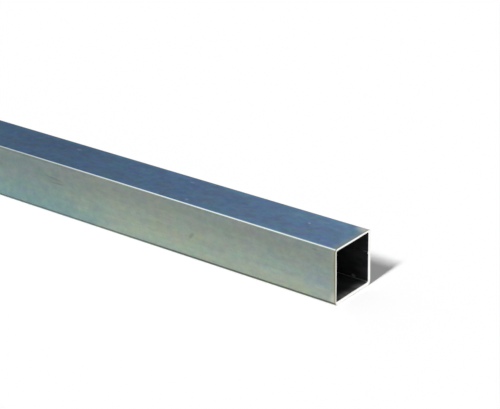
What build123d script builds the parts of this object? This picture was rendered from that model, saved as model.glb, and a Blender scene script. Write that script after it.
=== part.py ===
from build123d import *
import os

# Square steel tube: flat strip rolled into a square with rounded corners, its two
# edges welded together along the back wall, then sawn square and deburred.
# It lies along X with a sawn end at -X and at +X, its underside on Z = 0 and its
# welded wall towards +Y. All dimensions are in millimetres.

# Driving dimensions
side = 50.0                  # width and height outside
wall = 2.5                   # thickness of the rolled strip
inside_bend_radius = 1.0     # rolled corners, measured on the inside
length = 1000.0              # a one metre cut
outer_deburr = 0.2           # chamfer round the outside rim of each sawn end
inner_deburr = 0.6           # chamfer round the mouth of each sawn end
bead_width = 2.2             # ridge that the weld leaves inside the tube
bead_height = 0.5
weld_above_middle = 4.0      # from the middle of the back wall up to the weld

# Worked out from the driving dimensions
mouth = side - 2 * wall                             # width and height inside
outside_bend_radius = inside_bend_radius + wall     # both sides of a bend share one centre
inside_of_back = side / 2 - wall                    # from the tube's axis to the back wall
middle_of_back = side / 2 - wall / 2

# The section is drawn on the -X end, about the tube's axis: its own x is the tube's Y
# and its own y is the tube's Z
sawn_end = Plane(origin=(-length / 2, 0, side / 2), x_dir=(0, 1, 0), z_dir=(1, 0, 0))

with BuildPart() as square_tube:
    # The rolled strip
    with BuildSketch(sawn_end):
        RectangleRounded(side, side, outside_bend_radius)
        RectangleRounded(mouth, mouth, inside_bend_radius, mode=Mode.SUBTRACT)
    extrude(amount=length)

    # Each sawn end is deburred round its outside rim and round its mouth
    ends = square_tube.faces().filter_by(Axis.X)
    outside_rims = [end.outer_wire().edges() for end in ends]
    mouth_rims = [end.inner_wires().edges() for end in ends]
    chamfer(outside_rims, length=outer_deburr)
    chamfer(mouth_rims, length=inner_deburr)

    # The weld's ridge: a low arc rooted in the back wall. Deburring each mouth takes
    # the ridge off there, so it starts and stops that far inside the tube
    bead_low = weld_above_middle - bead_width / 2
    bead_high = weld_above_middle + bead_width / 2
    with BuildSketch(sawn_end.offset(inner_deburr)):
        with BuildLine():
            SagittaArc((inside_of_back, bead_low), (inside_of_back, bead_high), bead_height)
            Polyline(
                (inside_of_back, bead_high),
                (middle_of_back, bead_high),
                (middle_of_back, bead_low),
                (inside_of_back, bead_low),
            )
        make_face()
    extrude(amount=length - 2 * inner_deburr)

square_tube.part.label = "square_tube"

os.makedirs("parts", exist_ok=True)
export_step(square_tube.part, "parts/square_tube.step")
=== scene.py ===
# %% [markdown]
# # A length of plated square steel tube
#
# Square tube starts as a flat strip. Rollers bend it into a square with four rounded
# corners, the two edges of the strip are welded together, and a saw cuts it to length.
# A thin layer of zinc with a clear film over it keeps it from rusting. The film is thinner
# than a wavelength of light, so it shows soft blue, green and straw-coloured patches.
#
# The solid model is already packed, with its real sizes. This lesson gives it its finish.
# The first step loads that model and measures it, and everything later is placed from
# those measurements.

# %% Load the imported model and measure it
import math

import bpy
from mathutils import Matrix, Vector


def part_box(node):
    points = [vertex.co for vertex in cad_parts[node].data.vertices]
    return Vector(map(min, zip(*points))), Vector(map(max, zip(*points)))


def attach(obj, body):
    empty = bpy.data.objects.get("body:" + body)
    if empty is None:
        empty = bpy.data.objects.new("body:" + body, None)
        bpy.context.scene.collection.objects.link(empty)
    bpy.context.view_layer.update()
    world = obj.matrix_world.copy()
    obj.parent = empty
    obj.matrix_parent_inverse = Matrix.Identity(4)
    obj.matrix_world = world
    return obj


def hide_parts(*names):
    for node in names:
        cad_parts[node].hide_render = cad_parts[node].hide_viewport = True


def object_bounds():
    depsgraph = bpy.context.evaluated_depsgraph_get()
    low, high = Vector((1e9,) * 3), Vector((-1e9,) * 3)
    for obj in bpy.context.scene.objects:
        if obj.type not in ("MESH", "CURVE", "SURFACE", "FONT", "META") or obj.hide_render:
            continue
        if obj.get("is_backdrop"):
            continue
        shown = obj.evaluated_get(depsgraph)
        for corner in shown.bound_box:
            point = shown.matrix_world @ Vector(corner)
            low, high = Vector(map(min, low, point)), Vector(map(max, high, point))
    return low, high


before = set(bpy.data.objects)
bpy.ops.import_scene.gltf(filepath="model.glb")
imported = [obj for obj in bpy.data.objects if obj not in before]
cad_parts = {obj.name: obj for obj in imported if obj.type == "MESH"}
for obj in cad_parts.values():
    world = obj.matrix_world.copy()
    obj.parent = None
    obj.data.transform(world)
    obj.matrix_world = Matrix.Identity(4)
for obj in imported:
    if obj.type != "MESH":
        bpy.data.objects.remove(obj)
cad_low, cad_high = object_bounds()
tube_low, tube_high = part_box("square_tube")
length = tube_high.x - tube_low.x
side = tube_high.z - tube_low.z
print(f"tube {length * 1000:.0f} mm long, {side * 1000:.0f} mm square")

# %% [markdown]
# ## Sizes that the box can't tell
#
# A box says how long and how wide the tube is, and nothing about its wall. These are the
# sizes that the solid was made with. All lengths here are in metres, and `MM` lets them be
# written in millimetres.

# %% Sizes of the rolled section
MM = 0.001
wall = 2.5 * MM
inside_bend_radius = 1.0 * MM
outer_deburr = 0.2 * MM
inner_deburr = 0.6 * MM
bead_width = 2.2 * MM
bead_height = 0.5 * MM
weld_above_middle = 4.0 * MM
outside_bend_radius = inside_bend_radius + wall
flat_half = side / 2 - outside_bend_radius
print(f"each face is flat over {2 * flat_half / MM:.1f} mm of its {side / MM:.0f} mm")

# %% [markdown]
# ## Helpers for every node tree
#
# Geometry and materials are both made of nodes here. `node` adds one node, sets its
# properties and fills its sockets, each with a number or with a link from another socket.
# `group` starts a node group with named sockets, and `place` puts one to use.

# %% Helpers: fill, node, group and place
FLOAT, INTEGER, COLOUR = "NodeSocketFloat", "NodeSocketInt", "NodeSocketColor"
VECTOR, GEOMETRY, MATERIAL = "NodeSocketVector", "NodeSocketGeometry", "NodeSocketMaterial"


def fill(tree, sockets, values):
    for key, value in values.items():
        if isinstance(value, bpy.types.NodeSocket):
            tree.links.new(value, sockets[key])
        else:
            sockets[key].default_value = value


def node(tree, kind, inputs=None, **settings):
    made = tree.nodes.new(kind)
    for name, value in settings.items():
        setattr(made, name, value)
    fill(tree, made.inputs, inputs or {})
    return made


def group(name, kind, inputs, outputs):
    tree = bpy.data.node_groups.new(name, kind)
    for label, socket_type, value in inputs:
        socket = tree.interface.new_socket(label, in_out="INPUT", socket_type=socket_type)
        if value is not None:
            socket.default_value = value
    for label, socket_type in outputs:
        tree.interface.new_socket(label, in_out="OUTPUT", socket_type=socket_type)
    given, result = tree.nodes.new("NodeGroupInput"), tree.nodes.new("NodeGroupOutput")
    return tree, given.outputs, result.inputs


def place(tree, used_group, **inputs):
    made = tree.nodes.new(tree.bl_idname.replace("Tree", "Group"))
    made.node_tree = used_group
    fill(tree, made.inputs, {name.replace("_", " "): value for name, value in inputs.items()})
    return made.outputs


print("node helpers are ready")

# %% [markdown]
# ## Helpers for sums
#
# `calc` does one sum with numbers and `vectors` one with vectors. `product` multiplies any
# number of values, `axes` takes a vector apart and `point` makes one. `fade` goes softly
# from one value to another, and nearly every mask is made with it. `swing` is the same for
# a noise. With these a tree reads like the sentence that describes it, from the inside out.

# %% Helpers: calc, product, fade, swing, axes, point and vectors
def calc(tree, operation, *values):
    return node(tree, "ShaderNodeMath", dict(enumerate(values)), operation=operation).outputs[0]


def product(tree, value, *factors):
    for factor in factors:
        value = calc(tree, "MULTIPLY", value, factor)
    return value


def fade(tree, value, start, end, low=0.0, high=1.0):
    """Goes softly from low to high while value goes from start to end."""
    inputs = {"Value": value, "From Min": start, "From Max": end, "To Min": low, "To Max": high}
    return node(tree, "ShaderNodeMapRange", inputs, interpolation_type="SMOOTHSTEP").outputs[0]


def swing(tree, pattern, low, high):
    """Noise is mostly between 0.2 and 0.8, so those two become low and high."""
    return fade(tree, pattern, 0.2, 0.8, low, high)


def axes(tree, vector):
    return node(tree, "ShaderNodeSeparateXYZ", {0: vector}).outputs


def point(tree, **parts):
    return node(tree, "ShaderNodeCombineXYZ", parts).outputs[0]


def vectors(tree, operation, *values):
    made = node(tree, "ShaderNodeVectorMath", dict(enumerate(values)), operation=operation)
    return made.outputs["Value" if operation in ("LENGTH", "DISTANCE", "DOT_PRODUCT") else "Vector"]


print("sum helpers are ready")

# %% [markdown]
# ## Helpers for finishes
#
# `noise` is the source of everything that is uneven. It reads a position in the tube's own
# space, so a pattern stays on the steel when the tube moves, and `stretched` makes it
# longer in one direction than in another. `mixed` lays one colour over another by a mask,
# and `grey` makes a colour of one value. `bent` shifts a position a little by noise, which
# gives whatever is placed by it an uneven edge.
#
# `spot` is for a thing that is in one place. It is counted in sides of the square: how far
# from the +X end, how far across from the middle, and how high.

# %% Helpers: stretched, noise, bent, spot, mixed and grey
def stretched(tree, position, scale, turn=(0.0, 0.0, 0.0)):
    inputs = {"Vector": position, "Scale": scale, "Rotation": [math.radians(a) for a in turn]}
    return node(tree, "ShaderNodeMapping", inputs, vector_type="POINT").outputs[0]


def noise(tree, position, detail=2.0, roughness=0.5, distortion=0.0, output=0):
    inputs = {"Vector": position, "Scale": 1.0, "Detail": detail,
              "Roughness": roughness, "Distortion": distortion}
    return node(tree, "ShaderNodeTexNoise", inputs).outputs[output]


def bent(tree, position, pattern, amount):
    three_values = noise(tree, stretched(tree, position, pattern), 3.0, 0.55, output="Color")
    shift = vectors(tree, "SUBTRACT", three_values, (0.5, 0.5, 0.5))
    return vectors(tree, "MULTIPLY_ADD", shift, amount, position)


def spot(tree, position, centre, reach, slant=0.0):
    """1 in a place and 0 beyond its reach, which is also along, across and up, in sides."""
    distance, across, height = centre
    inputs = {"Vector": position, "Rotation": (0, math.radians(slant), 0),
              "Location": (tube_high.x - distance * side, across * side, height * side),
              "Scale": [part * side for part in reach]}
    away = node(tree, "ShaderNodeMapping", inputs, vector_type="TEXTURE").outputs[0]
    return fade(tree, vectors(tree, "LENGTH", away), 1.15, 0.45)


def mixed(tree, mask, under, over, blend_type="MIX"):
    made = node(tree, "ShaderNodeMix", data_type="RGBA", blend_type=blend_type)
    sockets = {socket.identifier: socket for socket in made.inputs}
    fill(tree, sockets, {"Factor_Float": mask, "A_Color": under, "B_Color": over})
    return next(socket for socket in made.outputs if socket.identifier == "Result_Color")


def grey(tree, value):
    return node(tree, "ShaderNodeCombineColor", {0: value, 1: value, 2: value}).outputs[0]


print("finish helpers are ready")

# %% [markdown]
# ## The film's colour
#
# Light reflects from the top of a clear film and again from the metal under it. The two
# reflections help or weaken each other, depending on how the thickness compares with the
# wavelength. For one wavelength that is one cosine, so three cosines, for red, green and
# blue, make the colour. One number, the thickness, then drives every tint on the tube, and
# the tints follow each other in the order that they have on real plating: blue, teal,
# green, straw. The other way, a ramp of hand-picked colours, needs as many colours as
# there are tints, and none of them would come out in the right order by itself.
#
# The thickness is in micrometres and already multiplied by the film's refractive index.

# %% Group: film_colour
WAVELENGTHS = (0.63, 0.53, 0.46)  # red, green and blue, in micrometres

film_colour, given, result = group(
    "film_colour", "ShaderNodeTree",
    [("Thickness", FLOAT, 0.265), ("Tinting", FLOAT, 0.8), ("Brightness", FLOAT, 0.33)],
    [("Color", COLOUR)])
channels = {}
for channel, wavelength in enumerate(WAVELENGTHS):
    phase = product(film_colour, given["Thickness"], 4 * math.pi / wavelength)
    lost = calc(film_colour, "MULTIPLY_ADD", calc(film_colour, "COSINE", phase), -0.5, 0.5)
    kept = calc(film_colour, "SUBTRACT", 1.0, product(film_colour, lost, given["Tinting"]))
    channels[channel] = product(film_colour, kept, given["Brightness"])
tint = node(film_colour, "ShaderNodeCombineColor", channels).outputs[0]
film_colour.links.new(tint, result["Color"])
print(f"film_colour: {len(film_colour.nodes)} nodes")

# %% [markdown]
# ## The side walls: the film and a painted reflection
#
# The film is thicker on the side walls than on the top face. The side walls are also
# lighter towards the floor and duller towards the upper edge, which is a painted reflection
# of the lit floor. Broad patches near the +X end have their own place and reach, and each
# changes the thickness, the brightness and how strongly the film tints. Farther on, slow
# noise carries on in the same way. More noise bends the edges of the patches, because a
# plating bath never drains in straight lines.
#
# The group is begun here and finished in the next step. Its lengths are counted in sides.

# %% Group: film_state, the side walls
WALL_THICKNESS_LOW, WALL_THICKNESS_HIGH = 0.2615, 0.2605
# painted reflection: the walls are brighter low down, where they mirror the lit floor
WALL_BRIGHTNESS_LOW, WALL_BRIGHTNESS_HIGH = 0.350, 0.264
WALL_TINTING_LOW, WALL_TINTING_HIGH = 0.67, 0.54
WALL_MOTTLING = 0.08
SLOW_PATTERN, QUICK_PATTERN, MOTTLED_PATTERN = (0.35, 1.1, 1.1), (2.2, 2.2, 2.2), (7.5, 9.5, 9.5)
MOTTLING_SLANT = (0, 14, 0)
BOTH_WALLS = 100.0  # a reach across that takes in the front and the back alike
PATCHES = (
    # distance and height, reach along and up, change of thickness, brightness and tinting
    (6.8, 0.25, 2.1, 0.9, -0.0125, -0.021, 0.05),
    (6.8, 0.10, 2.0, 0.4, -0.003, -0.015, 0.17),
    (4.0, 0.50, 1.6, 0.45, 0.004, 0.010, 0.0),
    (1.9, 0.50, 1.3, 0.30, -0.001, 0.009, 0.0),
    (0.9, 0.55, 1.2, 0.4, -0.003, 0.000, 0.0),
    (0.9, 0.08, 1.1, 0.3, 0.0075, 0.015, 0.0),
    (0.1, 0.28, 0.4, 0.4, -0.008, -0.015, -0.1),
    (0.2, 0.48, 0.6, 0.28, -0.004, 0.014, 0.0),
)

film_state, given, result = group(
    "film_state", "ShaderNodeTree",
    [("Position", VECTOR, None), ("Normal", VECTOR, None), ("Unevenness", FLOAT, 0.012)],
    [("Thickness", FLOAT), ("Brightness", FLOAT), ("Tinting", FLOAT)])
in_sides = vectors(film_state, "MULTIPLY", given["Position"], (1 / side,) * 3)
along, across, height = axes(film_state, in_sides)
slow = noise(film_state, stretched(film_state, in_sides, SLOW_PATTERN), 3.0, 0.55, 0.6)
quick = noise(film_state, stretched(film_state, in_sides, QUICK_PATTERN), 3.0, 0.55, 0.3)
slanting = stretched(film_state, in_sides, MOTTLED_PATTERN, MOTTLING_SLANT)
mottling = noise(film_state, slanting, 4.0, 0.65, 0.4)
drained = bent(film_state, given["Position"], (1.6 / side, 2.6 / side, 2.6 / side),
               (2.0 * side, 0, 0.5 * side))

film = fade(film_state, height, 0.1, 0.95, WALL_THICKNESS_LOW, WALL_THICKNESS_HIGH)
# painted reflection of the lit floor: brighter towards the floor, duller towards the top
bright = fade(film_state, height, 0.0, 0.95, WALL_BRIGHTNESS_LOW, WALL_BRIGHTNESS_HIGH)
tinting = fade(film_state, height, 0.35, 0.95, WALL_TINTING_LOW, WALL_TINTING_HIGH)
for distance, level, reach_along, reach_up, thicker, brighter, stronger in PATCHES:
    patch = spot(film_state, drained, (distance, 0.0, level), (reach_along, BOTH_WALLS, reach_up))
    film = calc(film_state, "MULTIPLY_ADD", patch, thicker, film)
    bright = calc(film_state, "MULTIPLY_ADD", patch, brighter, bright)
    tinting = calc(film_state, "MULTIPLY_ADD", patch, stronger, tinting)

uneven = calc(film_state, "SUBTRACT", calc(film_state, "MULTIPLY_ADD", slow, 2.0, quick), 1.5)
uneven = calc(film_state, "ADD", uneven, swing(film_state, mottling, -0.5, 0.5))
film = calc(film_state, "MULTIPLY_ADD", uneven, given["Unevenness"], film)
mottled = swing(film_state, mottling, 1 - WALL_MOTTLING, 1 + WALL_MOTTLING)
bright = product(film_state, bright, mottled)
print(f"film_state: {len(PATCHES)} patches on the side walls")

# %% [markdown]
# ## The top face: a thin film and a painted reflection
#
# The top face's darker blue is a painted reflection of dark blue surroundings, laid on as a
# thin film. That film is a little thicker towards the back corner, and the face gets duller
# away from the +X end. One noise raises tinting and brightness together, so the face turns
# from a grey blue to a clear one and stays equally light. The upward part of the normal
# tells the top face from a wall, and softly enough to cross the rounded corner.

# %% Group: film_state, the top face
# painted reflection: the thin film makes the top face the darker blue of reflected dark surroundings
TOP_THICKNESS = 0.175
TOP_UNEVENNESS = 0.008
THICKER_AT_BACK = 0.008
TOP_BRIGHTNESS_NEAR, TOP_BRIGHTNESS_FAR = 0.51, 0.335
TOP_TINTING_NEAR, TOP_TINTING_FAR = 0.80, 0.87
TOP_MOTTLING = 0.075
CLEARER_BRIGHTNESS, CLEARER_TINTING = 0.035, 0.015


def facing_up(tree, normal):
    return fade(tree, axes(tree, normal)[2], 0.86, 0.98)


to_back = fade(film_state, across, 0.3, 0.48, 0.0, THICKER_AT_BACK)
# the top face's thin film, which carries its painted reflection in darker blue
top_film = calc(film_state, "MULTIPLY_ADD", uneven, TOP_UNEVENNESS, TOP_THICKNESS)
top_film = calc(film_state, "ADD", top_film, to_back)
from_end = calc(film_state, "SUBTRACT", tube_high.x / side, along)
top_bright = product(
    film_state, fade(film_state, from_end, -1.0, 7.5, TOP_BRIGHTNESS_NEAR, TOP_BRIGHTNESS_FAR),
    swing(film_state, mottling, 1 - TOP_MOTTLING, 1 + TOP_MOTTLING),
    fade(film_state, quick, 0.3, 0.7, 1 - CLEARER_BRIGHTNESS, 1 + CLEARER_BRIGHTNESS))
top_tinting = fade(film_state, from_end, -1.0, 7.5, TOP_TINTING_NEAR, TOP_TINTING_FAR)
clearer = fade(film_state, quick, 0.3, 0.7, -CLEARER_TINTING, CLEARER_TINTING)
top_tinting = calc(film_state, "ADD", top_tinting, clearer)

on_top = facing_up(film_state, given["Normal"])
for label, wall_value, top_value in (("Thickness", film, top_film), ("Brightness", bright, top_bright),
                                     ("Tinting", tinting, top_tinting)):
    step = product(film_state, calc(film_state, "SUBTRACT", top_value, wall_value), on_top)
    film_state.links.new(calc(film_state, "ADD", wall_value, step), result[label])
print(f"film_state: {len(film_state.nodes)} nodes")

# %% [markdown]
# ## Rolling marks
#
# The rollers leave fine lines along the strip, and handling leaves fainter ones at a slant.
# Both are noise stretched until it looks like brushing. The group puts out one value around
# a half. The outside uses it weakly and the inside strongly, for colour, roughness and bump.

# %% Group: rolling_marks
ROLLED_LINES, HANDLING_LINES = (5.0, 900.0, 900.0), (25.0, 380.0, 380.0)
HANDLING_SLANT = (0, 14, 0)

rolling_marks, given, result = group(
    "rolling_marks", "ShaderNodeTree",
    [("Position", VECTOR, None), ("Slanted Share", FLOAT, 0.3)],
    [("Lines", FLOAT)])
straight = noise(rolling_marks, stretched(rolling_marks, given["Position"], ROLLED_LINES), 3.0, 0.6)
slanting = stretched(rolling_marks, given["Position"], HANDLING_LINES, HANDLING_SLANT)
difference = calc(rolling_marks, "SUBTRACT", noise(rolling_marks, slanting, 3.0, 0.6), straight)
lines = calc(rolling_marks, "MULTIPLY_ADD", difference, given["Slanted Share"], straight)
rolling_marks.links.new(lines, result["Lines"])
print(f"rolling_marks: {len(rolling_marks.nodes)} nodes")

# %% [markdown]
# ## Painted highlight on the upper corners, painted shade on the lower ones
#
# The upper corners carry a thin painted highlight, laid on as zinc that shines through where
# the film is rubbed off. A duller band just under that line is painted shade. The lower
# corners keep a thin line of painted shade where the tube meets the floor, which the sawn
# chamfer interrupts. All three follow the corners, and a corner is where the surface turns
# from sideways to up or down. So the masks come from the upward part of the normal, which
# goes from 0 on a side wall to 1 on the top face and to -1 under the tube. Near the +X end
# the highlight sits a little lower on the corner. Noise breaks it up, and it fades slowly
# away from that end.

# %% Group: corner_lines
corner_lines, given, result = group(
    "corner_lines", "ShaderNodeTree",
    [("Position", VECTOR, None), ("Normal", VECTOR, None), ("Breakup", FLOAT, 0.35)],
    [("Shine", FLOAT), ("Shade Under Shine", FLOAT), ("Lower Shade", FLOAT)])
endwards, _, upwards = axes(corner_lines, given["Normal"])
from_end = calc(corner_lines, "SUBTRACT", tube_high.x, axes(corner_lines, given["Position"])[0])
# near the +X end the painted highlight sits a little lower on the corner
shift_near_end = fade(corner_lines, from_end, 0.3 * side, 5 * side, 0.075, 0.0)
lowered = calc(corner_lines, "ADD", upwards, shift_near_end)

breakup_pattern = noise(corner_lines, stretched(corner_lines, given["Position"], (25.0, 160.0, 160.0)), 3.0, 0.6)
gaps = product(corner_lines, calc(corner_lines, "SUBTRACT", 1.0, breakup_pattern), given["Breakup"])
# painted highlight on the upper corners, laid on as worn zinc
shine = product(
    corner_lines, fade(corner_lines, lowered, 0.75, 0.86), fade(corner_lines, lowered, 0.97, 0.92),
    fade(corner_lines, from_end, 3 * side, 9 * side, 1.0, 0.4),
    fade(corner_lines, from_end, 0.0, 2.5 * side, 0.88, 1.0),
    calc(corner_lines, "SUBTRACT", 1.0, gaps))
# painted shade in a band just under the corner highlight
shade_under_shine = product(corner_lines, fade(corner_lines, upwards, 0.25, 0.5), fade(corner_lines, lowered, 0.86, 0.75))

on_chamfer = fade(corner_lines, calc(corner_lines, "ABSOLUTE", endwards), 0.2, 0.5)
# painted shade along the lower corners, where the tube meets the floor
lower_shade = product(
    corner_lines, fade(corner_lines, upwards, 0.02, -0.32),
    fade(corner_lines, upwards, -0.9, -0.4, 0.1, 1.0),
    calc(corner_lines, "SUBTRACT", 1.0, on_chamfer),
    fade(corner_lines, from_end, 3 * side, 5.5 * side, 1.0, 0.65))
for label, mask in (("Shine", shine), ("Shade Under Shine", shade_under_shine), ("Lower Shade", lower_shade)):
    corner_lines.links.new(mask, result[label])
print(f"corner_lines: {len(corner_lines.nodes)} nodes")

# %% [markdown]
# ## The cut edge
#
# The saw heats the plating next to the cut. Over the last few millimetres the film turns
# tan on a side wall and grey on the top face, and its very edge is scorched. The group puts
# out both places as masks and the material brings the colours. Both ends of the tube are
# alike, so it takes the distance to the nearer one, and noise makes both widths ragged.

# %% Group: cut_edge
def to_nearer_end(tree, position):
    return calc(tree, "SUBTRACT", length / 2, calc(tree, "ABSOLUTE", axes(tree, position)[0]))


cut_edge, given, result = group(
    "cut_edge", "ShaderNodeTree",
    [("Position", VECTOR, None), ("Heated Width", FLOAT, 5 * MM), ("Dark Width", FLOAT, 1.2 * MM)],
    [("Heated", FLOAT), ("Dark", FLOAT)])
ragged = noise(cut_edge, stretched(cut_edge, given["Position"], (200.0, 260.0, 260.0)), 3.0, 0.6)
to_end = product(cut_edge, to_nearer_end(cut_edge, given["Position"]), swing(cut_edge, ragged, 0.6, 1.4))
fully_dark = product(cut_edge, given["Dark Width"], 0.5)
cut_edge.links.new(fade(cut_edge, to_end, given["Heated Width"], 0.0), result["Heated"])
cut_edge.links.new(fade(cut_edge, to_end, given["Dark Width"], fully_dark), result["Dark"])
print(f"cut_edge: {len(cut_edge.nodes)} nodes")

# %% [markdown]
# ## The outside: the film and its play of tints
#
# A metal has no colour of its own apart from how it tints what it reflects. So the
# material is a metal whose base colour is the film's colour, and the groups meet here.
# A speckle of three unlike noises, one for each channel, gives the film the fine play of
# tints that it has all over, most of all on the top. The rolling marks vary the brightness,
# the roughness and the bump together, since they are the same scratches.

# %% Material: plated_outside, the film
SPECKLE_ON_WALL, SPECKLE_ON_TOP = 0.18, 0.36


def new_material(name, metallic=1.0):
    material = bpy.data.materials.new(name)
    material.use_nodes = True
    tree = material.node_tree
    shader = next(n for n in tree.nodes if n.type == "BSDF_PRINCIPLED")
    shader.inputs["Metallic"].default_value = metallic
    return material, tree, shader.inputs


plated_outside, tree, shader = new_material("plated_outside")
coordinates = node(tree, "ShaderNodeTexCoord").outputs
position, normal = coordinates["Object"], coordinates["Normal"]
height = axes(tree, position)[2]
_, backwards, upwards = axes(tree, normal)
on_top = facing_up(tree, normal)

state = place(tree, film_state, Position=position, Normal=normal, Unevenness=0.012)
colour = place(tree, film_colour, Thickness=state["Thickness"], Brightness=state["Brightness"],
               Tinting=state["Tinting"])["Color"]
speckle = noise(tree, stretched(tree, position, (60.0, 140.0, 140.0)), 4.0, 0.7, output="Color")
speckle_strength = fade(tree, on_top, 0.0, 1.0, SPECKLE_ON_WALL, SPECKLE_ON_TOP)
colour = mixed(tree, speckle_strength, colour, speckle, "OVERLAY")
lines = place(tree, rolling_marks, Position=position, Slanted_Share=0.45)["Lines"]
colour = mixed(tree, 1.0, colour, grey(tree, swing(tree, lines, 0.93, 1.07)), "MULTIPLY")
print(f"plated_outside: {len(tree.nodes)} nodes for the film")

# %% [markdown]
# ## The outside: single marks
#
# The weld was planed off outside and plated over. It shows as a slightly duller band along
# the back, opposite the ridge inside. The heated plating at the cut comes next.
#
# `MARKS` are single places where the tube was knocked, rubbed or burnt: two scratches far
# from the end, a smudge with a straw-coloured spot beside it, a dark speck near the upper
# front corner, bright pinpricks on the top face, the bare metal at two corners of the cut
# and a burnt place beside it.

# %% Material: plated_outside, the marks
BLACK = (0, 0, 0, 1)
HEATED_WALL = (0.31, 0.31, 0.235, 1)
HEATED_TOP = (0.215, 0.255, 0.24, 1)
SCORCHED_EDGE = (0.18, 0.185, 0.13, 1)
DIRT = (0.13, 0.15, 0.14, 1)
STRAW = (0.36, 0.34, 0.20, 1)
RUBBED = (0.50, 0.60, 0.69, 1)
WORN_CORNER = (0.61, 0.585, 0.51, 1)
PLANED_STRENGTH, HEATED_STRENGTH = 0.12, 0.75
MARKS = (
    # colour, strength, centre, reach, slant
    (DIRT, 0.42, (6.14, -0.5, 0.700), (0.24, 0.1, 0.022), 7.5),
    (DIRT, 0.46, (6.04, -0.5, 0.620), (0.21, 0.1, 0.022), -3.5),
    (DIRT, 0.40, (2.96, -0.5, 0.440), (0.09, 0.1, 0.035), -50.0),
    (STRAW, 0.35, (2.78, -0.5, 0.480), (0.09, 0.1, 0.080), 0.0),
    (DIRT, 0.55, (0.39, -0.5, 0.900), (0.07, 0.1, 0.016), 0.0),
    (RUBBED, 0.50, (0.93, 0.09, 1.0), (0.030, 0.020, 0.1), 0.0),
    (RUBBED, 0.16, (3.17, -0.34, 1.0), (0.045, 0.030, 0.1), 0.0),
    (RUBBED, 0.13, (3.55, 0.27, 1.0), (0.050, 0.030, 0.1), 0.0),
    (RUBBED, 0.13, (6.17, 0.24, 1.0), (0.060, 0.040, 0.1), 0.0),
    (WORN_CORNER, 0.62, (0.00, 0.50, 1.0), (0.27, 0.24, 0.2), 0.0),
    (WORN_CORNER, 0.50, (0.00, -0.50, 0.03), (0.13, 0.3, 0.24), 0.0),
    (SCORCHED_EDGE, 0.34, (0.01, -0.50, 0.68), (0.045, 0.1, 0.14), 0.0),
)

off_weld = calc(tree, "ABSOLUTE", calc(tree, "SUBTRACT", height, side / 2 + weld_above_middle))
planed = product(tree, fade(tree, off_weld, 2.4 * MM, 1.8 * MM), fade(tree, backwards, 0.5, 0.9),
                 PLANED_STRENGTH)
colour = mixed(tree, planed, colour, BLACK)

edge = place(tree, cut_edge, Position=position, Heated_Width=7.5 * MM, Dark_Width=1.2 * MM)
heated_tint = mixed(tree, on_top, HEATED_WALL, HEATED_TOP)
colour = mixed(tree, product(tree, edge["Heated"], HEATED_STRENGTH), colour, heated_tint)
frayed = bent(tree, position, (220.0, 220.0, 220.0), (1.0 * MM, 1.0 * MM, 1.0 * MM))
for tone, strength, centre, reach, slant in MARKS:
    mark = product(tree, spot(tree, frayed, centre, reach, slant), strength)
    colour = mixed(tree, mark, colour, tone)
print(f"plated_outside: {len(MARKS)} marks")

# %% [markdown]
# ## The outside: corners and the cut's dark rim
#
# The corners' painted highlight and painted shade lie over everything else, and the scorched
# rim over them. The rim is darkest on the upper part of a side wall and weaker towards the
# floor and on the level faces. At a glancing angle a bare metal turns white, but the film
# dulls that, so the tint that the shader takes there is turned down to a grey.

# %% Material: plated_outside, the corners and the rim
# colour of the painted highlight on the upper corners, laid on as worn zinc
WORN_ZINC_HIGHLIGHT = (0.77, 0.84, 0.83, 1)
# colour of the painted shade along the lower corners
LOWER_SHADE_COLOUR = (0.10, 0.11, 0.10, 1)
# how dark the painted shade under the corner highlight is
SHADE_UNDER_SHINE_STRENGTH = 0.25
GLANCING_TINT = (0.6, 0.6, 0.6, 1)

corners = place(tree, corner_lines, Position=position, Normal=normal, Breakup=0.35)
# painted shade under the highlight, then the painted highlight, then the painted shade of the lower corners
colour = mixed(tree, product(tree, corners["Shade Under Shine"], SHADE_UNDER_SHINE_STRENGTH), colour, BLACK)
colour = mixed(tree, corners["Shine"], colour, WORN_ZINC_HIGHLIGHT)
colour = mixed(tree, corners["Lower Shade"], colour, LOWER_SHADE_COLOUR)
scorched = product(tree, edge["Dark"], fade(tree, calc(tree, "ABSOLUTE", upwards), 0.7, 0.3, 0.5, 1.0),
                   fade(tree, height, 0.1 * side, 0.45 * side, 0.35, 0.9))
colour = mixed(tree, scorched, colour, SCORCHED_EDGE)
bump = node(tree, "ShaderNodeBump", {"Height": lines, "Strength": 0.06, "Distance": 0.1 * MM})
fill(tree, shader, {"Base Color": colour, "Roughness": swing(tree, lines, 0.32, 0.42),
                    "Specular Tint": GLANCING_TINT, "Normal": bump.outputs[0]})
print(f"plated_outside: {len(tree.nodes)} nodes in all")

# %% [markdown]
# ## The inside
#
# The bath hardly reaches into a long tube, so the inside keeps the dark skin that the
# steel had when it was rolled: a dark, rough metal with blotches and stronger lines. Two
# things are painted lighter: a painted highlight along the four bends, and painted light
# in blotches on the lower wall over the first centimetre at each mouth, where light falls
# in. A painted glint sits just above the lower back bend.

# %% Material: mill_steel_inside
MILL_STEEL = (0.066, 0.069, 0.074, 1)
DARK_SKIN = (0.040, 0.042, 0.045, 1)
# colour of the painted highlight along the inside bends
BEND_HIGHLIGHT = (0.25, 0.25, 0.25, 1)
# colour of the painted light near the mouths and of the painted glint
MOUTH_LIGHT = (0.50, 0.50, 0.49, 1)
# strength, place and reach of the painted glint above the lower back bend
GLINT_STRENGTH, GLINT_CENTRE, GLINT_REACH = 0.7, (0.30, 0.45, 0.088), (0.05, 0.10, 0.030)


def off_axis(tree, position):
    return vectors(tree, "ABSOLUTE", vectors(tree, "SUBTRACT", position, (0, 0, side / 2)))


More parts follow.
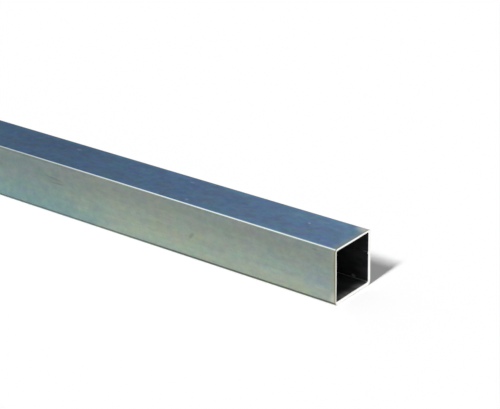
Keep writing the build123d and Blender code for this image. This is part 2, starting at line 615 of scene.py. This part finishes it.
mill_steel_inside, tree, shader = new_material("mill_steel_inside", metallic=0.85)
coordinates = node(tree, "ShaderNodeTexCoord").outputs
position = coordinates["Object"]
_, sideways, upwards = axes(tree, coordinates["Normal"])
lines = place(tree, rolling_marks, Position=position, Slanted_Share=0.2)["Lines"]
blotches = noise(tree, stretched(tree, position, (60.0, 140.0, 140.0)), 4.0, 0.6)
steel = mixed(tree, fade(tree, blotches, 0.35, 0.65), DARK_SKIN, MILL_STEEL)

# painted highlight along the upper and lower inside bends, kept off the ridge
in_bend = fade(tree, calc(tree, "ABSOLUTE", product(tree, sideways, upwards)), 0.15, 0.45)
off_middle = axes(tree, off_axis(tree, position))[2]
in_bend = product(tree, in_bend, fade(tree, off_middle, 0.3 * side, 0.4 * side))
steel = mixed(tree, in_bend, steel, BEND_HIGHLIGHT)
# painted light on the lower wall near each mouth, where light falls in
near_mouth = product(
    tree, fade(tree, to_nearer_end(tree, position), 10 * MM, 1 * MM), fade(tree, upwards, 0.3, 0.8),
    fade(tree, blotches, 0.35, 0.60, 0.45, 1.0))
steel = mixed(tree, near_mouth, steel, MOUTH_LIGHT)
frayed = bent(tree, position, (400.0, 400.0, 400.0), (3.0 * MM, 1.5 * MM, 2.0 * MM))
# painted glint just above the lower back bend
glint = product(tree, spot(tree, frayed, GLINT_CENTRE, GLINT_REACH), GLINT_STRENGTH)
steel = mixed(tree, glint, steel, MOUTH_LIGHT)
bump = node(tree, "ShaderNodeBump", {"Height": lines, "Strength": 0.25, "Distance": 0.1 * MM})
fill(tree, shader, {"Base Color": steel, "Roughness": swing(tree, lines, 0.45, 0.65),
                    "Normal": bump.outputs[0]})
print(f"mill_steel_inside: {len(tree.nodes)} nodes")

# %% [markdown]
# ## The sawn ends
#
# A saw leaves bare bright steel with fine parallel lines, which run straight across the
# tube at a slant. The same metal covers the flat ring and the chamfers beside it. Two parts
# of the ring's outer rim are darker: a thin band along the top wall and a wider one along
# the front wall. The distance to the rim comes from the section: a point in a bend is as far
# from it as the bend's radius less its distance from the bend's centre, and on a straight
# the same sum gives the plain distance.

# %% Material: sawn_steel
SAWN_LIGHT = (0.99, 0.99, 0.98, 1)
SAWN_SHADE = (0.90, 0.90, 0.88, 1)
# darker tones of the ring's outer rim, along the front wall and along the top wall
FRONT_RIM_TONE = (0.29, 0.30, 0.24, 1)
TOP_RIM_TONE = (0.22, 0.24, 0.24, 1)
SAW_LINES, SAW_SLANT = (300.0, 2200.0, 200.0), (24, 0, 0)

sawn_steel, tree, shader = new_material("sawn_steel")
position = node(tree, "ShaderNodeTexCoord").outputs["Object"]
saw_lines = noise(tree, stretched(tree, position, SAW_LINES, SAW_SLANT), 3.0, 0.6)
cut = mixed(tree, fade(tree, saw_lines, 0.3, 0.7), SAWN_SHADE, SAWN_LIGHT)

past_flat = vectors(tree, "SUBTRACT", off_axis(tree, position), (flat_half,) * 3)
past_flat = vectors(tree, "MULTIPLY", vectors(tree, "MAXIMUM", past_flat, (0, 0, 0)), (0, 1, 1))
to_rim = calc(tree, "SUBTRACT", outside_bend_radius, vectors(tree, "LENGTH", past_flat))
_, across, up = axes(tree, position)
top_rim = product(tree, fade(tree, to_rim, 0.45 * MM, 0.2 * MM),
                  fade(tree, up, side - wall, side - 0.5 * wall))
front_rim = product(tree, fade(tree, to_rim, 1.25 * MM, 0.65 * MM),
                    fade(tree, across, -side / 2 + wall, -side / 2 + 0.5 * wall))
cut = mixed(tree, top_rim, cut, TOP_RIM_TONE)
cut = mixed(tree, front_rim, cut, FRONT_RIM_TONE)
bump = node(tree, "ShaderNodeBump", {"Height": saw_lines, "Strength": 0.2, "Distance": 0.05 * MM})
fill(tree, shader, {"Base Color": cut, "Roughness": fade(tree, saw_lines, 0.3, 0.7, 0.45, 0.32),
                    "Normal": bump.outputs[0]})
print(f"sawn_steel: {len(tree.nodes)} nodes")

# %% [markdown]
# ## The shape: dividing the long straights
#
# The tube's shape follows a rule, so Geometry Nodes make it. A rounded square is four long
# straights and four small arcs, and a mesh with faces 40 mm long beside faces 1 mm long
# shades badly. This group divides each straight of a curve into steps no longer than it is
# told, and leaves the short steps of the arcs alone. It takes the distance from each point
# to the next one and works out how many cuts that stretch needs.

# %% Group: divide_straights
divide_straights, given, result = group(
    "divide_straights", "GeometryNodeTree",
    [("Curve", GEOMETRY, None), ("Longest Step", FLOAT, 10 * MM)],
    [("Curve", GEOMETRY)])
here = node(divide_straights, "GeometryNodeInputPosition").outputs[0]
index = node(divide_straights, "GeometryNodeInputIndex").outputs[0]
following = node(divide_straights, "GeometryNodeOffsetPointInCurve", {"Point Index": index, "Offset": 1})
there = node(divide_straights, "GeometryNodeFieldAtIndex", domain="POINT", data_type="FLOAT_VECTOR")
fill(divide_straights, there.inputs, {"Value": here, "Index": following.outputs["Point Index"]})
stretch = vectors(divide_straights, "DISTANCE", here, there.outputs["Value"])
steps = calc(divide_straights, "CEIL", calc(divide_straights, "DIVIDE", stretch, given["Longest Step"]))
divided = node(divide_straights, "GeometryNodeSubdivideCurve",
               {"Curve": given["Curve"], "Cuts": calc(divide_straights, "SUBTRACT", steps, 1.0)})
divide_straights.links.new(divided.outputs[0], result["Curve"])
print(f"divide_straights: {len(divide_straights.nodes)} nodes")

# %% [markdown]
# ## The shape: the rolled wall
#
# A tube could be a section pulled along its length. Here it is made the other way round:
# the profile is the wall itself seen from the side, a strip as long as the tube and as
# thick as the wall, with its corners cut off where the ends are deburred. That strip is
# swept once round a rounded square. Both faces, both ends and all chamfers come out of one
# sweep as one closed mesh, and a bend has the same centre inside and outside, as it has
# in a rolled strip.
#
# Rolled faces are never quite flat, so the path sinks in a little at the middle of each
# straight. The tube's box stays the same, because its corners stay where they are.

# %% Group: rolled_wall, the path round the section
face_hollow = 0.12 * MM
tube_sizes = [("Side", FLOAT, side), ("Wall", FLOAT, wall), ("Length", FLOAT, length),
              ("Inside Bend Radius", FLOAT, inside_bend_radius), ("Hollow", FLOAT, face_hollow),
              ("Outer Deburr", FLOAT, outer_deburr), ("Inner Deburr", FLOAT, inner_deburr)]
mesh_steps = [("Bend Steps", INTEGER, 12), ("Step Around", FLOAT, 3 * MM), ("Step Along", FLOAT, 12 * MM)]

rolled_wall, given, result = group("rolled_wall", "GeometryNodeTree", tube_sizes + mesh_steps,
                                   [("Mesh", GEOMETRY)])
middle_line = calc(rolled_wall, "SUBTRACT", given["Side"], given["Wall"])
square = node(rolled_wall, "GeometryNodeCurvePrimitiveQuadrilateral",
              {"Width": middle_line, "Height": middle_line}).outputs[0]
middle_radius = calc(rolled_wall, "MULTIPLY_ADD", given["Wall"], 0.5, given["Inside Bend Radius"])
rounded = node(rolled_wall, "GeometryNodeFilletCurve", mode="POLY")
fill(rolled_wall, rounded.inputs, {"Curve": square, "Radius": middle_radius, "Count": given["Bend Steps"]})
around = place(rolled_wall, divide_straights, Curve=rounded.outputs[0], Longest_Step=given["Step Around"])[0]

x, y, _ = axes(rolled_wall, node(rolled_wall, "GeometryNodeInputPosition").outputs[0])
half_line = product(rolled_wall, middle_line, 0.5)
half_flat = calc(rolled_wall, "SUBTRACT", half_line, middle_radius)
sunk = {}
for axis, across, beside in (("X", x, y), ("Y", y, x)):
    on_face = calc(rolled_wall, "COMPARE", calc(rolled_wall, "ABSOLUTE", across), half_line, 0.01 * MM)
    depth = fade(rolled_wall, calc(rolled_wall, "ABSOLUTE", beside), half_flat, 0.0)
    outwards = calc(rolled_wall, "SIGN", across)
    sunk[axis] = product(rolled_wall, depth, on_face, given["Hollow"], outwards, -1.0)
around = node(rolled_wall, "GeometryNodeSetPosition",
              {"Geometry": around, "Offset": point(rolled_wall, **sunk)}).outputs[0]
around = node(rolled_wall, "GeometryNodeSetCurveNormal", {"Curve": around}, mode="Z_UP").outputs[0]
print(f"rolled_wall: {len(rolled_wall.nodes)} nodes for the path")

# %% [markdown]
# ## The shape: the strip that is swept round it
#
# The strip's corners are cut by a fillet of one step, which is a chamfer. The two corners
# that become the outer rims are cut less than the two at the mouths. The sweep leaves the
# tube standing on its end, so it is turned to lie along X and lifted by half its side.

# %% Group: rolled_wall, the strip and the sweep
strip = node(rolled_wall, "GeometryNodeCurvePrimitiveQuadrilateral",
             {"Width": given["Wall"], "Height": given["Length"]}).outputs[0]
outer = calc(rolled_wall, "GREATER_THAN", x, 0.0)
deburrs = {"Switch": outer, "False": given["Inner Deburr"], "True": given["Outer Deburr"]}
deburr = node(rolled_wall, "GeometryNodeSwitch", deburrs, input_type="FLOAT").outputs[0]
cut_strip = node(rolled_wall, "GeometryNodeFilletCurve", mode="POLY")
fill(rolled_wall, cut_strip.inputs, {"Curve": strip, "Radius": deburr, "Count": 1})
profile = place(rolled_wall, divide_straights, Curve=cut_strip.outputs[0], Longest_Step=given["Step Along"])
swept = node(rolled_wall, "GeometryNodeCurveToMesh", {"Curve": around, "Profile Curve": profile["Curve"]})
lying = (0, math.radians(90), 0)
lifted = point(rolled_wall, Z=product(rolled_wall, given["Side"], 0.5))
laid_down = node(rolled_wall, "GeometryNodeTransform",
                 {"Geometry": swept.outputs[0], "Rotation": lying, "Translation": lifted})
rolled_wall.links.new(laid_down.outputs[0], result["Mesh"])
print(f"rolled_wall: {len(rolled_wall.nodes)} nodes in all")

# %% [markdown]
# ## The shape: the weld's ridge
#
# Where the two edges of the strip were welded together, metal is squeezed out on both
# sides. The mill planes it off outside, and inside it stays as a low ridge that runs the
# whole length. It is the top of a round rod sunk in the wall: from the ridge's width and
# height follows the rod's radius. A little noise on the rod's thickness keeps the ridge
# from looking machined.

# %% Group: weld_ridge
RIDGE_POINTS, ROD_POINTS = 250, 24
WAVES_PER_METRE = 60.0

weld_ridge, given, result = group(
    "weld_ridge", "GeometryNodeTree",
    [("Length", FLOAT, length - 2 * inner_deburr), ("Width", FLOAT, bead_width),
     ("Height", FLOAT, bead_height), ("Waviness", FLOAT, 0.12), ("Seed", FLOAT, 4.0)],
    [("Mesh", GEOMETRY), ("Radius", FLOAT)])
half_width = product(weld_ridge, given["Width"], 0.5)
height_squared = product(weld_ridge, given["Height"], given["Height"])
squares = calc(weld_ridge, "MULTIPLY_ADD", half_width, half_width, height_squared)
radius = calc(weld_ridge, "DIVIDE", squares, product(weld_ridge, given["Height"], 2.0))

ends = {"Start": point(weld_ridge, X=product(weld_ridge, given["Length"], -0.5)),
        "End": point(weld_ridge, X=product(weld_ridge, given["Length"], 0.5))}
line = node(weld_ridge, "GeometryNodeCurvePrimitiveLine", ends).outputs[0]
line = node(weld_ridge, "GeometryNodeResampleCurve", {"Curve": line, "Count": RIDGE_POINTS}).outputs[0]
circle = node(weld_ridge, "GeometryNodeCurvePrimitiveCircle",
              {"Resolution": ROD_POINTS, "Radius": radius}).outputs[0]
pattern = {"Vector": node(weld_ridge, "GeometryNodeInputPosition").outputs[0], "W": given["Seed"],
           "Scale": WAVES_PER_METRE, "Detail": 2.0}
waves = node(weld_ridge, "ShaderNodeTexNoise", pattern, noise_dimensions="4D").outputs[0]
waves = calc(weld_ridge, "SUBTRACT", waves, 0.5)
thickness = calc(weld_ridge, "MULTIPLY_ADD", waves, given["Waviness"], 1.0)
rod = node(weld_ridge, "GeometryNodeCurveToMesh",
           {"Curve": line, "Profile Curve": circle, "Scale": thickness, "Fill Caps": True})
weld_ridge.links.new(rod.outputs[0], result["Mesh"])
weld_ridge.links.new(radius, result["Radius"])
print(f"weld_ridge: {len(weld_ridge.nodes)} nodes")

# %% [markdown]
# ## The shape: the whole tube
#
# The ridge is united with the wall, so the tube stays one closed piece of steel. Shading
# is smooth except where two faces meet at more than 25 degrees, which keeps the deburred
# rims crisp.

# %% Group: square_tube_tree, wall and ridge
CRISP_ANGLE = math.radians(25)
ridge_sizes = [("Ridge Width", FLOAT, bead_width), ("Ridge Height", FLOAT, bead_height),
               ("Ridge Above Middle", FLOAT, weld_above_middle)]
finishes = [("Outside", MATERIAL, None), ("Inside", MATERIAL, None), ("Sawn Ends", MATERIAL, None)]

tube_tree, given, result = group("square_tube_tree", "GeometryNodeTree",
                                 [("Geometry", GEOMETRY, None)] + tube_sizes + ridge_sizes + finishes,
                                 [("Geometry", GEOMETRY)])
walls = place(tube_tree, rolled_wall, **{name.replace(" ", "_"): given[name] for name, _, _ in tube_sizes})
both_deburrs = product(tube_tree, given["Inner Deburr"], 2.0)
ridge = place(tube_tree, weld_ridge, Length=calc(tube_tree, "SUBTRACT", given["Length"], both_deburrs),
              Width=given["Ridge Width"], Height=given["Ridge Height"])

half_side = product(tube_tree, given["Side"], 0.5)
inside_of_back = calc(tube_tree, "SUBTRACT", half_side, given["Wall"])
inside_of_back = calc(tube_tree, "SUBTRACT", inside_of_back, given["Hollow"])
sunk_rod = calc(tube_tree, "SUBTRACT", ridge["Radius"], given["Ridge Height"])
ridge_place = point(tube_tree, Y=calc(tube_tree, "ADD", inside_of_back, sunk_rod),
                    Z=calc(tube_tree, "ADD", half_side, given["Ridge Above Middle"]))
ridge = node(tube_tree, "GeometryNodeTransform", {"Geometry": ridge["Mesh"], "Translation": ridge_place})
united = node(tube_tree, "GeometryNodeMeshBoolean", operation="UNION", solver="EXACT")
tube_tree.links.new(ridge.outputs[0], united.inputs["Mesh 2"])
tube_tree.links.new(walls["Mesh"], united.inputs["Mesh 2"])

smooth = node(tube_tree, "GeometryNodeSetShadeSmooth", {"Geometry": united.outputs[0]}, domain="FACE")
edge_angle = node(tube_tree, "GeometryNodeInputMeshEdgeAngle").outputs["Unsigned Angle"]
crisp = {"Geometry": smooth.outputs[0], "Shade Smooth": False,
         "Selection": calc(tube_tree, "GREATER_THAN", edge_angle, CRISP_ANGLE)}
shaded = node(tube_tree, "GeometryNodeSetShadeSmooth", crisp, domain="EDGE")
print(f"square_tube_tree: {len(tube_tree.nodes)} nodes for the shape")

# %% [markdown]
# ## The shape: which face gets which finish
#
# Every face gets its material by where it looks. Whatever looks along the tube, straight or
# at a slant, was cut, so the ring and its two chamfers are sawn steel. Of the rest, what
# looks towards the tube's axis is the inside and all else is plated.

# %% Group: square_tube_tree, the finishes
SLIGHTLY_ENDWARDS = 0.3

faces_to = node(tube_tree, "GeometryNodeInputNormal").outputs[0]
here = node(tube_tree, "GeometryNodeInputPosition").outputs[0]
from_axis = vectors(tube_tree, "SUBTRACT", here, point(tube_tree, Z=half_side))
from_axis = vectors(tube_tree, "MULTIPLY", from_axis, (0, 1, 1))
is_inside = calc(tube_tree, "LESS_THAN", vectors(tube_tree, "DOT_PRODUCT", faces_to, from_axis), 0.0)
endwards = calc(tube_tree, "ABSOLUTE", axes(tube_tree, faces_to)[0])
is_sawn = calc(tube_tree, "GREATER_THAN", endwards, SLIGHTLY_ENDWARDS)
finished = shaded.outputs[0]
for finish, chosen in (("Outside", True), ("Inside", is_inside), ("Sawn Ends", is_sawn)):
    choice = {"Geometry": finished, "Selection": chosen, "Material": given[finish]}
    finished = node(tube_tree, "GeometryNodeSetMaterial", choice).outputs[0]
realized = node(tube_tree, "GeometryNodeRealizeInstances", {"Geometry": finished})
tube_tree.links.new(realized.outputs[0], result["Geometry"])
print(f"square_tube_tree: {len(tube_tree.nodes)} nodes in all")

# %% [markdown]
# ## From nodes to a plain mesh
#
# The tree is put on an empty object as a modifier. Its inputs are set through each
# socket's identifier, because a modifier doesn't know them by name, and this is done
# before the object is first evaluated. Then the result is taken as an ordinary mesh,
# and the modifier goes.

# %% Bake the tube
def bake(name, tree, values):
    maker = bpy.data.objects.new(name + "_maker", bpy.data.meshes.new(name + "_maker"))
    bpy.context.scene.collection.objects.link(maker)
    modifier = maker.modifiers.new(name, "NODES")
    modifier.node_group = tree
    for item in tree.interface.items_tree:
        if item.item_type == "SOCKET" and item.in_out == "INPUT" and item.name in values:
            modifier[item.identifier] = values[item.name]
    evaluated = maker.evaluated_get(bpy.context.evaluated_depsgraph_get())
    mesh = bpy.data.meshes.new_from_object(evaluated)
    mesh.name = name
    bpy.data.objects.remove(maker)
    piece = bpy.data.objects.new(name, mesh)
    bpy.context.scene.collection.objects.link(piece)
    return piece


tube = bake("plated_tube", tube_tree, {"Outside": plated_outside, "Inside": mill_steel_inside,
                                       "Sawn Ends": sawn_steel})
finish_names = ", ".join(material.name for material in tube.data.materials if material)
print(f"{tube.name}: {len(tube.data.polygons)} faces with {finish_names}")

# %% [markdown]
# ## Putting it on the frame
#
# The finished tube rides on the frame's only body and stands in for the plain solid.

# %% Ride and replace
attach(tube, "root")
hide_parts("square_tube")
triangles = sum(len(face.vertices) - 2 for face in tube.data.polygons)
print(f"{tube.name} stands for the solid with {triangles} triangles")

# %% [markdown]
# ## Floor
#
# The tube lies on a wide white floor. Light would make the floor a little grey, so where
# the camera or a reflection sees it, it also glows faintly, and that lifts it to white
# while the tube's shadow stays. The Light Path node tells which rays those are. Rays that
# carry light from the floor to the tube don't get the glow.

# %% Floor
FLOOR_PAINT = (0.9, 0.9, 0.9, 1)
FLOOR_GLOW = 0.085


def seen_directly(tree):
    path = node(tree, "ShaderNodeLightPath").outputs
    seen = calc(tree, "MAXIMUM", path["Is Camera Ray"], path["Is Glossy Ray"])
    return calc(tree, "MAXIMUM", seen, path["Is Transmission Ray"])


floor_mesh = bpy.data.meshes.new("floor")
half_floor, just_below = 40.0, -0.1 * MM
floor_mesh.from_pydata([(-half_floor, -half_floor, just_below), (half_floor, -half_floor, just_below),
                        (half_floor, half_floor, just_below), (-half_floor, half_floor, just_below)],
                       [], [(0, 1, 2, 3)])
floor = bpy.data.objects.new("floor", floor_mesh)
bpy.context.scene.collection.objects.link(floor)
floor_paint, tree, shader = new_material("floor_paint", metallic=0.0)
glow = product(tree, seen_directly(tree), FLOOR_GLOW)
fill(tree, shader, {"Base Color": FLOOR_PAINT, "Roughness": 0.9, "Specular IOR Level": 0.0,
                    "Emission Color": (1, 1, 1, 1), "Emission Strength": glow})
floor.data.materials.append(floor_paint)
floor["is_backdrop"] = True
print(f"floor {2 * half_floor:.0f} m wide")

# %% [markdown]
# ## Light
#
# Metal shows what is around it, so the surroundings are plain white. They light the floor
# and the tube only a little. Most of the light comes from one tall, narrow source in front,
# half-way up, as a strip light gives it. Its shadow has a long soft edge behind the tube and
# a crisp one at the tube's end. A single wide sun would soften both edges alike, so the
# strip is a row of small suns above each other, each with its share. Together with the
# surroundings they give a level at which a pale matt surface that faces up shows its own
# colour.

# %% World and lights
SKY_LIGHT = 0.205
LIGHT_WIDTH = 5
LIGHT_TURN = 1.3
LIGHT_PARTS = (
    # height above the horizon in degrees and share of the level on the floor
    (43.2, 0.17),
    (45.4, 0.18),
    (47.8, 0.18),
    (50.5, 0.13),
    (53.3, 0.15),
)

world = bpy.data.worlds.new("white_surroundings")
bpy.context.scene.world = world
world.use_nodes = True
tree = world.node_tree
background = next(n for n in tree.nodes if n.type == "BACKGROUND")
strength = calc(tree, "MULTIPLY_ADD", seen_directly(tree), 1.0 - SKY_LIGHT, SKY_LIGHT)
fill(tree, background.inputs, {"Color": (1, 1, 1, 1), "Strength": strength})

for degrees, share in LIGHT_PARTS:
    above = math.radians(degrees)
    light = bpy.data.lights.new(f"light_at_{degrees:.0f}", "SUN")
    light.energy = share * math.pi / math.sin(above)
    light.angle = math.radians(LIGHT_WIDTH)
    lamp = bpy.data.objects.new(light.name, light)
    lamp.rotation_euler = (math.pi / 2 - above, 0, math.radians(LIGHT_TURN))
    bpy.context.scene.collection.objects.link(lamp)
    print(f"{light.name}: strength {light.energy:.2f}")
print(f"surroundings: {SKY_LIGHT} as light and 1.0 as seen")

# %% [markdown]
# ## Camera
#
# The camera looks along the tube from in front of its +X end and from above. Its place is
# given as a maker would say it: the point on the top face that it looks at, counted in
# sides from the +X end, then the direction, the distance, and the small tilt of the frame.

# %% Camera
AZIMUTH, ELEVATION, TILT = 38.281, 23.991, -1.052
DISTANCE_IN_SIDES = 29.306
AIM_FROM_END, AIM_TO_BACK = 2.172, 0.111
LENS = 126.38
aim = Vector((tube_high.x - AIM_FROM_END * side, AIM_TO_BACK * side, tube_high.z))

turn, rise, tilt = (math.radians(angle) for angle in (AZIMUTH, ELEVATION, TILT))
forward = Vector((-math.sin(turn) * math.cos(rise), math.cos(turn) * math.cos(rise), -math.sin(rise)))
level = Vector((math.cos(turn), math.sin(turn), 0.0))
upright = level.cross(forward)
right = math.cos(tilt) * level + math.sin(tilt) * upright
up = math.cos(tilt) * upright - math.sin(tilt) * level

camera_data = bpy.data.cameras.new("camera")
camera_data.lens = LENS
camera_data.clip_end = 200.0
camera = bpy.data.objects.new("camera", camera_data)
camera.matrix_world = Matrix((right, up, -forward)).transposed().to_4x4()
camera.location = aim - forward * DISTANCE_IN_SIDES * side
bpy.context.scene.collection.objects.link(camera)
bpy.context.scene.camera = camera
bpy.context.scene.view_settings.view_transform = "Standard"
print("camera at", [round(v, 3) for v in camera.location])

# %% [markdown]
# ## Last checks
#
# The finish may not change the tube's size.

# %% Compare the boxes and finish
shown_low, shown_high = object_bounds()
for name, before, after in zip("XYZ", cad_high - cad_low, shown_high - shown_low):
    print(f"{name}: solid {before * 1000:.2f} mm, finished {after * 1000:.2f} mm")
